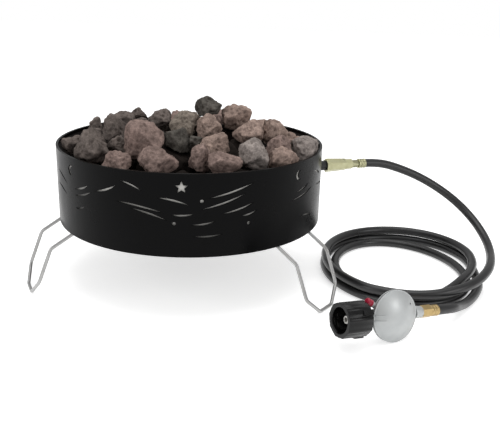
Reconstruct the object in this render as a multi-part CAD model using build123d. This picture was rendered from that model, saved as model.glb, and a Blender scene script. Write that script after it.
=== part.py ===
from build123d import *
import math
import os

# Portable propane fire pit. Millimetres, +Z up, the ground at z = 0.
# Everything is drawn about the bowl's upright axis and moved at the end, so that the bowl and its legs
# are centred on the origin. The rear leg points along +Y, the other two at 120 degrees from it.

# Bowl: pierced outer skirt and the fire pan that hangs in it
bowl_diameter = 406.0
bowl_height = 115.0
bowl_stand = 96.0
skirt_wall = 1.2
hem_depth = 2.4
hem_height = 5.0
pan_gap = 0.8
pan_wall = 0.8
pan_floor_lift = 27.0
pan_floor_thickness = 1.0
seat_clearance = 0.3
cut_overrun = 12.0

# Ornament pierced through the skirt
front_azimuth = -79.5
motif_count = 7
motif_offset = -3.5
motif_height_share = 0.84
star_radius = 9.0
star_waist_share = 0.42
moon_radius = 7.0
moon_bite_share = 0.86
moon_bite_shift_share = 0.62
stroke_width = 2.8
stroke_sag = 1.9
dot_radius = 2.4

# Wire legs and their brackets
leg_azimuths = {"rear": 90.0, "left": 210.0, "right": 330.0}
wire_diameter = 5.0
pivot_inset = 23.0
rail_spacing = 82.0
upper_rail_length = 55.0
upper_rail_angle = 30.4
lower_rail_angle = 68.7
low_bend_height = 26.0
foot_flare = 8.6
foot_length = 32.0
pin_length = 10.0
pin_bend = 4.6
knee_bend = 14.0
low_bend = 12.0
foot_bend = 8.0
pin_clearance = 0.06
bracket_sheet = 1.6
bracket_lift = 7.0
bracket_height = 17.0
ear_gap = 5.6
ear_inner_reach = 9.0
ear_half_height = 6.0

# Burner and gas inlet, all on one level; the inlet's stations are measured from the bowl's axis
inlet_azimuth = 24.5
inlet_lift = 35.0
burner_radius = 75.0
burner_half_width = 9.0
burner_wall = 1.4
port_count = 18
port_radius = 1.2
saddle_width = 16.0
saddle_depth = 9.0
socket_radius = 8.9
socket_length = 15.0
feed_radius = 7.5
feed_wall = 1.2
feed_plug = 14.0
jet_radius = 4.2
jet_length = 10.0
jet_bore = 0.8
bulkhead_radius = 8.0
bulkhead_bore = 3.0
bulkhead_hex = 25.0
bulkhead_hex_length = 6.0
bulkhead_inner_length = 12.0
bulkhead_outer_length = 43.0
wall_hole_clearance = 0.3
locknut_hex = 24.0
locknut_length = 7.5

# Hose and the fittings at its ends
hose_diameter = 14.0
dark_neck_length = 28.0
swivel_hex = 20.5
swivel_taper_angle = 2.4
swivel_length = 36.0
swivel_clearance = 0.05
tailpiece_hex = 15.5
tailpiece_length = 24.0
tailpiece_waist = 6.4
ferrule_radius = 7.8
ferrule_length = 13.0
ferrule_groove = 0.6
ferrule_groove_width = 2.4
hose_lead = 28.0
bend_share = 0.45

# Loose coil: an oval pile in two layers; its turns fan out inward at one side, and its upper layer bulges
coil_centre = (338.4, 37.3)
coil_turn_azimuth = 10.5
coil_half_width = 124.0
coil_half_depth = 152.0
coil_start_turn = -0.05
coil_turns = 2.85
coil_step = 16.2
coil_layer_gap = 0.6
coil_reverse_turn = 1.25
coil_climb_turns = 0.5
fan_azimuth = 80.0
fan_share = 2.15
fan_power = 1.5
coil_bulge = 27.0
bulge_azimuth = 28.0
bulge_power = 8.0

# Free stretches of hose, from the coil up to the bowl and from the regulator down to the coil
run_points = [
    (461.0, -59.5, 26.0),
    (475.5, -31.0, 29.0),
    (481.5, 6.0, 32.0),
    (485.0, 44.0, 35.0),
    (487.0, 82.0, 43.0),
    (480.0, 115.0, 55.0),
    (467.0, 140.0, 69.0),
    (446.0, 157.0, 87.0),
    (417.0, 164.0, 107.0),
    (380.0, 162.0, 128.0),
    (342.0, 151.0, 145.0),
]
tail_points = [
    (417.5, -122.0, 16.0),
    (439.0, -97.0, 7.0),
    (456.0, -63.0, 7.0),
]

# Regulator, leaning back on the rim of its round case; the gas axis is its X, the cover faces its -Y
regulator_x = 305.3
regulator_y = -200.7
regulator_azimuth = 33.0
regulator_tilt_angle = 6.0
regulator_lean_angle = 12.0
case_radius = 35.0
case_flange = 2.0
case_flange_set = 6.0
case_cup_radius = 25.0
case_back_radius = 18.0
case_depth = 16.0
case_wall = 2.2
cover_rim = 2.0
cover_edge = 1.2
cover_dome_depth = 12.0
cover_rib_length = 13.0
cover_rib_width = 2.0
cover_rib_spacing = 7.0
cover_rib_proud = 0.9
vent_x = 19.5
vent_z = 16.5
vent_radius = 1.4
diaphragm_thickness = 1.0
plate_radius = 17.0
plate_thickness = 1.4
spring_radius = 7.0
spring_wire = 1.2
spring_turns = 4
inlet_boss_radius = 10.0
inlet_boss_reach = 38.0
outlet_boss_radius = 10.5
outlet_boss_tip = 8.0
outlet_boss_reach = 50.0
gas_bore = 3.0
outlet_hex = 15.5
outlet_nut_length = 16.0
vent_cap_azimuth = 152.0
vent_cap_radius = 5.0
vent_cap_set = 3.0
vent_cap_length = 9.0
vent_boss_radius = 3.8

# Hand nut of the cylinder connection and the nipple that it turns on
nut_mouth_reach = 83.0
nut_radius = 23.5
nut_length = 37.0
nut_step_radius = 14.8
nut_step_length = 6.0
nut_bore = 16.7
nut_bore_depth = 28.0
nut_mouth_chamfer = 1.2
nut_thread_end = 9.5
nut_thread_relief = 0.8
nut_rib_count = 9
nut_rib_radius = 5.0
nut_rib_proud = 0.9
nut_lug_width = 7.0
nut_lug_proud = 2.0
nut_lug_length = 15.0
nipple_radius = 8.5
nipple_clearance = 0.08
nipple_flange_radius = 13.0
nipple_flange_length = 3.6
nipple_nose_radius = 7.0
nipple_nose_length = 14.0
nipple_nose_chamfer = 2.0
seal_radius = 1.3
seal_set = 4.5

# Lava rocks, heaped on the burner and the pan's floor
rock_size = 31.0
rock_gap = 0.3
rock_edge = 0.1
rock_facets = 18
rock_wobble_share = 0.20
wall_facet_angle = 15.0
wall_facet_count = 7
rock_block = 200.0

bowl_radius = bowl_diameter / 2
skirt_bore = bowl_radius - skirt_wall
rim_height = bowl_stand + bowl_height
pan_floor_height = bowl_stand + pan_floor_lift
inlet_height = pan_floor_height + inlet_lift
pan_radius = skirt_bore - pan_gap
pan_bore = pan_radius - pan_wall
wire_radius = wire_diameter / 2
hose_radius = hose_diameter / 2
pivot_radius = bowl_radius - pivot_inset
slope = math.radians(upper_rail_angle)
rail_crossing = math.sqrt(skirt_bore ** 2 - (rail_spacing / 2 + wire_radius) ** 2)
rail_rise = (rail_crossing - pivot_radius) * math.tan(slope)
pivot_height = bowl_stand - (wire_radius + seat_clearance) / math.cos(slope) + rail_rise
knee_radius = pivot_radius + upper_rail_length * math.cos(slope)
knee_height = pivot_height - upper_rail_length * math.sin(slope)
low_radius = knee_radius + (knee_height - low_bend_height) / math.tan(math.radians(lower_rail_angle))
foot_radius = low_radius + foot_flare
bowl_axis_y = -(foot_radius + wire_radius - bowl_radius) / 2
burner_top = inlet_height + burner_half_width
swivel_start = bowl_radius + dark_neck_length
tailpiece_start = swivel_start + swivel_length
inlet_ferrule_start = tailpiece_start + tailpiece_length
hose_start = inlet_ferrule_start + ferrule_length
outlet_ferrule_start = outlet_boss_reach + outlet_nut_length
tail_start = outlet_ferrule_start + ferrule_length
cover_start = case_flange_set + diaphragm_thickness

UP = (Align.CENTER, Align.CENTER, Align.MIN)

# Falling and rising strokes of one wave: start and end along the wall and up it, as shares of the
# bowl's radius and height, from the front of the ornament
wave_shares = [
    (-0.48, 0.87, -0.32, 0.77),
    (-0.22, 0.71, -0.01, 0.63),
    (-0.52, 0.62, -0.17, 0.53),
    (-0.13, 0.52, 0.02, 0.53),
    (-0.41, 0.56, -0.15, 0.44),
    (0.11, 0.71, 0.43, 0.87),
    (0.06, 0.58, 0.37, 0.75),
    (0.20, 0.52, 0.43, 0.63),
    (0.34, 0.48, 0.45, 0.53),
    (0.00, 0.40, 0.16, 0.44),
    (0.01, 0.26, 0.21, 0.28),
]
# Strokes that the front shows towards its left and right ends
side_shares = [
    (0.81, 0.63, 0.98, 0.70),
    (0.75, 0.54, 1.05, 0.63),
    (0.89, 0.29, 1.05, 0.24),
    (1.08, 0.80, 1.24, 0.70),
    (1.12, 0.60, 1.34, 0.54),
    (-0.91, 0.63, -0.76, 0.72),
    (-0.91, 0.55, -0.73, 0.65),
    (-0.91, 0.39, -0.80, 0.45),
    (-0.69, 0.68, -0.51, 0.80),
    (-1.22, 0.76, -1.02, 0.64),
    (-1.24, 0.58, -1.03, 0.50),
]
back_wave_azimuths = (112.0, 175.0, 241.0)
dot_shares = [(0.39, 0.38), (-0.11, 0.41), (0.07, 0.68)]

# Rocks: place across the pan as shares of its bore, height over the rim as a share of the bowl's height,
# size as a share of rock_size, then how much longer a rock is along its own axis, and that axis's
# direction round and up as shares of a full turn
rock_shares = [
    (-0.36, -0.76, -0.06, 0.62, 1.15, 0.00, 0.00),
    (-0.08, -0.78, 0.01, 0.72, 1.25, 0.02, 0.00),
    (0.19, -0.66, 0.04, 0.52, 1.45, 0.00, 0.25),
    (0.36, -0.72, 0.02, 0.52, 1.75, 0.00, 0.01),
    (0.55, -0.53, 0.05, 0.62, 1.65, -0.10, -0.08),
    (0.74, -0.50, 0.00, 0.70, 1.15, 0.03, 0.00),
    (-0.60, -0.58, 0.06, 0.78, 1.10, 0.00, 0.25),
    (-0.85, -0.28, -0.03, 0.52, 1.00, 0.00, 0.00),
    (-0.25, -0.50, 0.16, 0.96, 1.05, 0.00, 0.00),
    (-0.03, -0.40, 0.10, 0.72, 1.15, 0.00, 0.25),
    (0.25, -0.44, 0.10, 0.66, 1.10, 0.10, 0.12),
    (0.70, -0.26, 0.05, 0.70, 0.85, 0.00, 0.25),
    (0.89, -0.16, 0.00, 0.76, 1.15, 0.20, 0.00),
    (-0.53, -0.24, 0.19, 0.66, 1.15, 0.00, 0.25),
    (-0.03, -0.06, 0.20, 0.74, 1.15, 0.04, 0.20),
    (0.15, -0.10, 0.20, 0.64, 1.10, 0.12, 0.10),
    (0.46, -0.07, 0.14, 0.70, 1.10, 0.00, 0.10),
    (0.64, 0.00, 0.14, 0.70, 1.10, 0.00, 0.25),
    (-0.80, 0.04, -0.04, 0.62, 0.85, 0.00, 0.25),
    (-0.56, 0.10, 0.14, 0.70, 1.10, 0.05, 0.15),
    (-0.27, 0.14, 0.20, 0.60, 1.20, 0.00, 0.02),
    (0.10, 0.20, 0.37, 0.66, 1.15, 0.00, 0.00),
    (0.12, 0.18, 0.19, 0.76, 0.85, 0.00, 0.25),
    (0.32, 0.25, 0.25, 0.74, 1.25, 0.00, 0.00),
    (-0.53, 0.42, 0.15, 0.48, 1.20, 0.00, 0.00),
    (-0.52, 0.36, -0.02, 0.85, 0.85, 0.00, 0.25),
    (-0.17, 0.46, 0.05, 0.85, 0.85, 0.00, 0.25),
    (0.10, 0.56, 0.04, 0.90, 0.85, 0.00, 0.25),
    (0.40, 0.55, -0.06, 0.95, 0.85, 0.00, 0.25),
    (0.70, 0.36, -0.16, 0.85, 0.85, 0.00, 0.25),
    (0.84, 0.10, -0.08, 0.64, 0.85, 0.00, 0.25),
    (-0.42, 0.69, -0.12, 0.75, 0.85, 0.00, 0.25),
    (-0.14, 0.80, -0.14, 0.78, 0.85, 0.00, 0.25),
    (0.16, 0.81, -0.14, 0.82, 0.85, 0.00, 0.25),
    (0.46, 0.72, -0.16, 0.78, 0.85, 0.00, 0.25),
    (-0.80, 0.34, -0.20, 0.75, 0.85, 0.00, 0.25),
    (-0.66, 0.58, -0.14, 0.75, 0.85, 0.00, 0.25),
    (-0.30, -0.20, 0.05, 0.85, 0.85, 0.00, 0.25),
    (-0.85, 0.30, -0.02, 0.44, 1.60, 0.00, 0.25),
    (0.10, -0.40, 0.13, 0.38, 1.20, 0.10, 0.00),
    (-0.44, -0.42, 0.02, 0.54, 1.20, 0.05, 0.00),
    (0.50, 0.19, 0.11, 0.64, 1.10, 0.00, 0.00),
]
# Bed under them, in rings: how many, distance from the axis, height, size and upright length in the
# same shares
bed_shares = [
    (1, 0.00, -0.12, 1.40, 0.85),
    (7, 0.40, -0.20, 1.45, 0.85),
    (13, 0.80, -0.45, 1.60, 0.85),
]


def ring(outer, inner, height, level):
    """Upright ring standing on the given level."""
    return Pos(0, 0, level) * (Cylinder(outer, height, align=UP) - Cylinder(inner, height, align=UP))


def rod(radius, start, end):
    """Round bar along X."""
    return Pos(start, 0, 0) * Rot(0, 90, 0) * Cylinder(radius, end - start, align=UP)


def taper(first, second, start, end):
    """Cone frustum along X."""
    return Pos(start, 0, 0) * Rot(0, 90, 0) * Cone(first, second, end - start, align=UP)


def hex_bar(across_flats, start, end):
    """Hexagonal bar along X, given across its flats."""
    section = RegularPolygon(across_flats / 2, 6, major_radius=False)
    return Pos(start, 0, 0) * Rot(0, 90, 0) * extrude(section, amount=end - start)


def wall_plane(along, height):
    """Plane on the skirt's outside: along is an angle from the front, positive to the right."""
    azimuth = math.radians(front_azimuth) + along
    out = Vector(math.cos(azimuth), math.sin(azimuth), 0)
    right = Vector(-math.sin(azimuth), math.cos(azimuth), 0)
    origin = out * bowl_radius + Vector(0, 0, bowl_stand + height)
    return Plane(origin=origin, x_dir=right, z_dir=out)


def pierce(plane, outline):
    """Cutter that carries a flat outline through the wall."""
    return extrude(plane * outline, amount=cut_overrun, both=True)


def star_outline():
    """Five-pointed star."""
    corners = []
    for k in range(10):
        reach = star_radius if k % 2 == 0 else star_radius * star_waist_share
        angle = math.pi / 2 + k * math.pi / 5
        corners.append((reach * math.cos(angle), reach * math.sin(angle)))
    return make_face(Polyline(corners, close=True))


def moon_outline():
    """Crescent: a disc with a smaller disc bitten out of its side."""
    bite = Pos(moon_radius * moon_bite_shift_share, 0) * Circle(moon_radius * moon_bite_share)
    return Circle(moon_radius) - bite


def stroke_cutter(shares, shift):
    """Pointed wavy stroke, bowed away from the chord between its two ends."""
    start_share, low_share, end_share, high_share = shares
    middle = (start_share + end_share) / 2
    level = bowl_height * (low_share + high_share) / 2
    half_run = bowl_radius * math.sin((end_share - start_share) / 2)
    half_rise = bowl_height * (high_share - low_share) / 2
    bow = stroke_sag if half_rise > 0 else -stroke_sag
    first = (-half_run, -half_rise)
    last = (half_run, half_rise)
    upper = ThreePointArc(first, (0, stroke_width / 2 - bow), last)
    lower = ThreePointArc(last, (0, -stroke_width / 2 - bow), first)
    return pierce(wall_plane(middle + shift, level), make_face([upper, lower]))


def ornament_cutters():
    """All cutters of the star, crescents, strokes and dots."""
    cutters = []
    for k in range(motif_count):
        along = math.radians(motif_offset + k * 360 / motif_count)
        odd = min(k, motif_count - k) % 2
        outline = moon_outline() if odd else star_outline()
        cutters.append(pierce(wall_plane(along, motif_height_share * bowl_height), outline))
    for shares in wave_shares + side_shares:
        cutters.append(stroke_cutter(shares, 0))
    for azimuth in back_wave_azimuths:
        for shares in wave_shares:
            cutters.append(stroke_cutter(shares, math.radians(azimuth)))
    for along_share, height_share in dot_shares:
        plane = wall_plane(along_share, bowl_height * height_share)
        cutters.append(pierce(plane, Circle(dot_radius)))
    return cutters


def inlet_place(piece):
    """Carries a piece drawn along X to the inlet's level and direction."""
    return Rot(0, 0, inlet_azimuth) * Pos(0, 0, inlet_height) * piece


def wall_hole():
    """Hole for the inlet through skirt and pan."""
    radius = bulkhead_radius + wall_hole_clearance
    return inlet_place(rod(radius, pan_bore - cut_overrun, bowl_radius + cut_overrun))


def make_skirt():
    """Pierced drum with its rim folded inward."""
    drum = ring(bowl_radius, skirt_bore, bowl_height, bowl_stand)
    hem = ring(skirt_bore, skirt_bore - hem_depth, hem_height, rim_height - hem_height)
    return (drum + hem).cut(*ornament_cutters(), wall_hole())


def make_fire_pan():
    """Bright drum with a floor, seated under the hem."""
    top = rim_height - hem_height
    wall = ring(pan_radius, pan_bore, top - pan_floor_height, pan_floor_height)
    under = pan_floor_height - pan_floor_thickness
    floor = Pos(0, 0, under) * Cylinder(pan_radius, pan_floor_thickness, align=UP)
    return wall + floor - wall_hole()


def make_bracket(azimuth):
    """Curved plate welded inside the skirt, with an ear at each end for a leg's pin."""
    ear_start = rail_spacing / 2 + ear_gap
    ear_end = ear_start + bracket_sheet
    low = bowl_stand + bracket_lift
    plate = ring(skirt_bore, skirt_bore - bracket_sheet, bracket_height, low)
    keep = Pos(skirt_bore, 0, low) * Box(skirt_bore, 2 * ear_end, bracket_height, align=UP)
    bracket = plate & keep
    ear_length = skirt_bore - bracket_sheet / 2 - pivot_radius + ear_inner_reach
    for side in (-1, 1):
        along = pivot_radius - ear_inner_reach + ear_length / 2
        ear = Box(ear_length, bracket_sheet, 2 * ear_half_height)
        ear = Pos(along, side * (ear_start + ear_end) / 2, pivot_height) * ear
        bracket += ear & Cylinder(skirt_bore - bracket_sheet / 2, rim_height, align=UP)
    pin_hole = Rot(90, 0, 0) * Cylinder(wire_radius + pin_clearance, 4 * ear_end)
    hole = Pos(pivot_radius, 0, pivot_height) * pin_hole
    return Rot(0, 0, azimuth) * (bracket - hole)


def wire_sweep(points, radii, radius):
    """Round wire along straight runs joined by arcs."""
    path = FilletPolyline(*points, radius=radii)
    return sweep(Plane(origin=path @ 0, z_dir=path % 0) * Circle(radius), path=path)


def make_leg(azimuth):
    """One bent wire: pin, rail, foot bar, rail, pin."""
    half = rail_spacing / 2
    side = [
        Vector(pivot_radius, half + pin_length, pivot_height),
        Vector(pivot_radius, half, pivot_height),
        Vector(knee_radius, half, knee_height),
        Vector(low_radius, half, low_bend_height),
        Vector(foot_radius, foot_length / 2, wire_radius),
    ]
    other = [Vector(p.X, -p.Y, p.Z) for p in reversed(side)]
    bends = [pin_bend, knee_bend, low_bend, foot_bend]
    wire = wire_sweep(side + other, bends + bends[::-1], wire_radius)
    return Rot(0, 0, azimuth) * wire


def make_burner():
    """Hollow ring of square section with flame ports on top and a socket for the feed tube."""
    outer = burner_radius + burner_half_width
    inner = burner_radius - burner_half_width
    low = inlet_height - burner_half_width
    body = ring(outer, inner, 2 * burner_half_width, low)
    hollow_height = 2 * (burner_half_width - burner_wall)
    hollow = ring(outer - burner_wall, inner + burner_wall, hollow_height, low + burner_wall)
    mouth = outer + socket_length
    socket = inlet_place(rod(socket_radius, outer - burner_wall, mouth))
    bore = inlet_place(rod(feed_radius + swivel_clearance, mouth - feed_plug, mouth + cut_overrun))
    gas_way = inlet_place(rod(feed_radius - feed_wall, burner_radius, mouth))
    ports = []
    for k in range(port_count):
        port = Pos(burner_radius, 0, burner_top) * Cylinder(port_radius, 4 * burner_wall)
        ports.append(Rot(0, 0, inlet_azimuth + 360 * (k + 1 / 2) / port_count) * port)
    return (body + socket).cut(hollow, bore, gas_way, *ports)


def make_saddles():
    """Three blocks on the pan's floor that carry the burner ring."""
    height = inlet_height - burner_half_width - pan_floor_height
    blocks = []
    for k in range(3):
        saddle = Pos(burner_radius, 0, pan_floor_height) * Box(saddle_width, saddle_depth, height, align=UP)
        blocks.append(Rot(0, 0, inlet_azimuth + 60 + 120 * k) * saddle)
    return Compound(blocks)


def make_bulkhead():
    """Steel nipple through the wall, with a hexagon inside the pan."""
    hex_end = pan_bore - seat_clearance - bulkhead_hex ** 2 / pan_bore / 4
    hexagon = hex_bar(bulkhead_hex, hex_end - bulkhead_hex_length, hex_end)
    start = hex_end - bulkhead_hex_length - bulkhead_inner_length
    shank = rod(bulkhead_radius, start, bowl_radius + bulkhead_outer_length)
    bore = rod(bulkhead_bore, start, bowl_radius + bulkhead_outer_length)
    return start, inlet_place(hexagon + shank - bore)


def make_feed_tube(inner_end):
    """Tube from the bulkhead into the burner's socket."""
    plug = burner_radius + burner_half_width + socket_length - feed_plug
    tube = rod(feed_radius, plug, inner_end) - rod(feed_radius - feed_wall, plug, inner_end)
    return inlet_place(tube)


def make_jet(inner_end):
    """Brass jet on the bulkhead's inner face, inside the feed tube."""
    body = rod(jet_radius, inner_end - jet_length, inner_end)
    return inlet_place(body - rod(jet_bore, inner_end - jet_length, inner_end))


def make_locknut():
    """Hexagon nut against the outside of the skirt."""
    start = bowl_radius + seat_clearance
    nut = hex_bar(locknut_hex, start, start + locknut_length)
    return inlet_place(nut - rod(bulkhead_radius + swivel_clearance, start, start + locknut_length))


def make_swivel_nut():
    """Tapered brass hexagon that screws onto the bulkhead's outer end."""
    section = RegularPolygon(swivel_hex / 2, 6, major_radius=False)
    body = extrude(section, amount=swivel_length, taper=swivel_taper_angle)
    body = Pos(swivel_start, 0, 0) * Rot(0, 90, 0) * body
    socket_end = bowl_radius + bulkhead_outer_length + seat_clearance
    socket = rod(bulkhead_radius + swivel_clearance, swivel_start, socket_end)
    return inlet_place(body - socket - rod(bulkhead_bore, swivel_start, tailpiece_start))


def make_tailpiece():
    """Brass hexagon with a round waist towards the ferrule."""
    middle = tailpiece_start + tailpiece_length / 2
    body = hex_bar(tailpiece_hex, tailpiece_start, middle)
    body += rod(tailpiece_waist, middle, inlet_ferrule_start)
    return inlet_place(body - rod(bulkhead_bore, tailpiece_start, inlet_ferrule_start))


def ferrule(start):
    """Crimped sleeve with two rolled grooves, drawn along X."""
    sleeve = rod(ferrule_radius, start, start + ferrule_length)
    for k in (1, 2):
        low = start + ferrule_length * k / 3 - ferrule_groove_width / 2
        high = low + ferrule_groove_width
        groove = rod(ferrule_radius, low, high)
        core = rod(ferrule_radius - ferrule_groove, low, high)
        sleeve -= groove - core
    return sleeve - rod(bulkhead_bore, start, start + ferrule_length)


def swell(angle, azimuth, power):
    """Share that is 1 at an azimuth and 0 opposite to it; a higher power keeps it narrower."""
    return ((1 + math.cos(angle - math.radians(azimuth))) / 2) ** power


def coil_point(turn):
    """Centre of the hose after some turns of the coil, counted from its tail end."""
    angle = math.tau * turn
    inward = -coil_step * turn
    outward = coil_step * (turn - 2 * coil_reverse_turn)
    shift = inward if turn < coil_reverse_turn else outward
    climb = (turn - coil_reverse_turn) / coil_climb_turns + 1 / 2
    climb = min(max(climb, 0), 1)
    climb = climb * climb * (3 - 2 * climb)
    shift *= 1 + fan_share * swell(angle, fan_azimuth, fan_power)
    shift += coil_bulge * swell(angle, bulge_azimuth, bulge_power) * climb
    x = (coil_half_width + shift) * math.cos(angle)
    y = (coil_half_depth + shift) * math.sin(angle)
    z = hose_radius + (hose_diameter + coil_layer_gap) * climb
    return Vector(*coil_centre, 0) + Vector(x, y, z).rotate(Axis.Z, coil_turn_azimuth)


def coil_way(turn):
    """Direction of the hose at a point of the coil."""
    step = 1 / 500
    return (coil_point(turn + step) - coil_point(turn - step)).normalized()


def biarc(start, start_way, end, end_way):
    """Two arcs that leave start along start_way and reach end along end_way."""
    span = end - start
    along = span.dot(start_way + end_way)
    bend = 2 * (1 - start_way.dot(end_way))
    reach = (math.sqrt(along * along + bend * span.dot(span)) - along) / bend
    near = start + start_way * reach
    far = end - end_way * reach
    joint = (near + far) / 2
    first = TangentArc(start, joint, tangent=start_way)
    second = TangentArc(joint, end, tangent=(far - near).normalized())
    return [first, second]


def wound_tube(point, way, start_turn, turns, radius):
    """Tube wound on biarcs of up to a quarter turn, with a straight end of one diameter each way."""
    count = math.ceil(4 * turns)
    stations = [start_turn + turns * k / count for k in range(count + 1)]
    first = point(stations[0])
    last = point(stations[-1])
    start = first - way(stations[0]) * (2 * radius)
    end = last + way(stations[-1]) * (2 * radius)
    edges = [Line(start, first)]
    for here, there in zip(stations, stations[1:]):
        edges += biarc(point(here), way(here), point(there), way(there))
    edges.append(Line(last, end))
    path = Wire(edges)
    tube = sweep(Plane(origin=start, z_dir=way(stations[0])) * Circle(radius), path=path)
    return tube, edges, start, end


def least_gap(edges, radius):
    """Least gap of a wound tube to itself, measured on points of its arcs."""
    samples = 12
    points = []
    for edge in edges[1:-1]:
        points += [edge @ (k / samples) for k in range(samples)]
    least = math.inf
    for k, one in enumerate(points):
        for other in points[k + 4 * samples:]:
            least = min(least, (one - other).length)
    return least - 2 * radius


def hose_stretch(name, points):
    """Hose along straight runs joined by the largest tangent arcs that they allow."""
    radii = []
    for before, here, after in zip(points, points[1:], points[2:]):
        turn = math.radians((here - before).get_angle(after - here))
        shorter = min((here - before).length, (after - here).length)
        radii.append(bend_share * shorter / math.tan(turn / 2))
    tube = wire_sweep(points, radii, hose_radius)
    path = FilletPolyline(*points, radius=radii)
    share = tube.volume / (math.pi * hose_radius ** 2 * path.length)
    print(name, "length", round(path.length), "volume share", round(share, 4))
    print(name, "bend radii", [round(r) for r in radii])
    return tube


def regulator_place(piece):
    """Carries a regulator piece to where it stands, on the rear edge of its flange."""
    lean = math.radians(regulator_lean_angle)
    height = case_radius * math.cos(lean) - (case_flange_set - case_flange) * math.sin(lean)
    spot = Pos(regulator_x, regulator_y, height) * Rot(0, 0, regulator_azimuth)
    return spot * Rot(0, regulator_tilt_angle, 0) * Rot(-regulator_lean_angle, 0, 0) * piece


def case_disc(radius, front, back):
    """Round disc about the case's axis, from one depth to another, positive to the rear."""
    return Pos(0, front, 0) * Rot(-90, 0, 0) * Cylinder(radius, back - front, align=UP)


def case_cone(front_radius, back_radius, front, back):
    """Cone frustum about the case's axis."""
    return Pos(0, front, 0) * Rot(-90, 0, 0) * Cone(front_radius, back_radius, back - front, align=UP)


def vent_place(piece):
    """Carries a piece drawn along X to the vent's direction in the case's plane."""
    return Rot(0, -vent_cap_azimuth, 0) * piece


def make_regulator_body():
    """Cast rear half of the case, with inlet, outlet and vent bosses."""
    flange_front = -case_flange_set
    flange_back = flange_front + case_flange
    back = flange_front + case_depth
    body = case_disc(case_radius, flange_front, flange_back)
    body += case_cone(case_cup_radius, case_back_radius, flange_back, back)
    body += rod(inlet_boss_radius, -inlet_boss_reach, 0)
    body += taper(outlet_boss_radius, outlet_boss_tip, 0, outlet_boss_reach)
    body += vent_place(rod(vent_boss_radius, 0, case_radius + vent_cap_set))
    hollow = case_cone(
        case_cup_radius - case_wall, case_back_radius - case_wall, flange_front, back - case_wall
    )
    front_room = case_disc(case_radius + vent_cap_set, flange_front - 2 * cover_dome_depth, flange_front)
    gas_way = rod(gas_bore, -inlet_boss_reach, outlet_boss_reach)
    return body - hollow - front_room - gas_way


def cover_ball():
    """Radius and middle of the ball that the cover's dome is cut from."""
    edge = case_radius - cover_edge
    radius = (edge ** 2 + cover_dome_depth ** 2) / (2 * cover_dome_depth)
    return radius, -cover_start - cover_rim - cover_dome_depth + radius


def make_regulator_cover():
    """Domed front of the case, with two short cast ribs and a vent hole."""
    radius, middle = cover_ball()
    edge = case_radius - cover_edge
    rim_front = -cover_start - cover_rim
    front = rim_front - 2 * cover_dome_depth
    place = Pos(0, middle, 0)
    shell = case_disc(case_radius, rim_front, -cover_start)
    shell += (place * Sphere(radius)) & case_disc(edge, front, rim_front)
    raised = (place * Sphere(radius + cover_rib_proud)) & case_disc(edge, front, rim_front)
    for side in (-1, 1):
        slab = Box(cover_rib_length, 4 * cover_dome_depth, cover_rib_width)
        slab = Pos(-edge + cover_rib_length / 2, rim_front, side * cover_rib_spacing / 2) * slab
        shell += raised & slab
    hollow = (place * Sphere(radius - case_wall)) & case_disc(edge - case_wall, front, -cover_start)
    vent_hole = Pos(vent_x, rim_front, vent_z) * Rot(90, 0, 0) * Cylinder(vent_radius, 4 * cover_dome_depth)
    return shell - hollow - vent_hole


def make_diaphragm():
    """Rubber disc clamped between body and cover."""
    return case_disc(case_radius - seat_clearance, -cover_start, -case_flange_set)


def make_diaphragm_plate():
    """Steel plate that the spring presses on the diaphragm."""
    return case_disc(plate_radius, -cover_start - plate_thickness, -cover_start)


def spring_span():
    """Front and rear ends of the spring's room."""
    radius, middle = cover_ball()
    reach = spring_radius + spring_wire / 2
    front = middle - math.sqrt((radius - case_wall) ** 2 - reach ** 2)
    return front, -cover_start - plate_thickness


def spring_point(turn):
    """Centre of the spring's wire after some turns from its front end."""
    front, rear = spring_span()
    room = rear - front - spring_wire - 2 * seat_clearance
    angle = math.tau * turn
    depth = front + seat_clearance + spring_wire / 2 + room * turn / spring_turns
    return Vector(spring_radius * math.cos(angle), depth, spring_radius * math.sin(angle))


def spring_way(turn):
    """Direction of the spring's wire."""
    step = 1 / 500
    return (spring_point(turn + step) - spring_point(turn - step)).normalized()


def make_spring():
    """Open coil spring on quarter-turn biarcs."""
    stations = [k / 4 for k in range(4 * spring_turns + 1)]
    edges = []
    for here, there in zip(stations, stations[1:]):
        edges += biarc(spring_point(here), spring_way(here), spring_point(there), spring_way(there))
    section = Plane(origin=spring_point(0), z_dir=spring_way(0)) * Circle(spring_wire / 2)
    return sweep(section, path=Wire(edges))


def make_vent_cap():
    """Red plastic cap on the vent boss."""
    start = case_radius + vent_cap_set
    cap = rod(vent_cap_radius, start, start + vent_cap_length)
    edge = cap.faces().sort_by(Axis.X)[-1].edges()
    return vent_place(chamfer(edge, vent_cap_radius / 4))


def make_outlet_nut():
    """Brass hexagon between the outlet boss and the hose's ferrule."""
    nut = hex_bar(outlet_hex, outlet_boss_reach, outlet_ferrule_start)
    return nut - rod(gas_bore, outlet_boss_reach, outlet_ferrule_start)


def nut_rear_wall():
    """Station of the front face of the hand nut's rear wall."""
    return -nut_mouth_reach + nut_bore_depth


def nipple_flange_front():
    """Station of the front face of the nipple's flange."""
    return nut_rear_wall() - seat_clearance - nipple_flange_length


def make_nipple():
    """Brass nipple: neck through the hand nut, retaining flange and a grooved nose."""
    flange_front = nipple_flange_front()
    tip = flange_front - nipple_nose_length
    body = rod(nipple_radius, flange_front, -inlet_boss_reach)
    body += rod(nipple_flange_radius, flange_front, flange_front + nipple_flange_length)
    nose = rod(nipple_nose_radius, tip, flange_front)
    body += chamfer(nose.faces().sort_by(Axis.X)[0].edges(), nipple_nose_chamfer)
    groove = Pos(flange_front - seal_set, 0, 0) * Rot(0, 90, 0) * Torus(nipple_nose_radius, seal_radius)
    return body - groove - rod(gas_bore, tip, -inlet_boss_reach)


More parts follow.
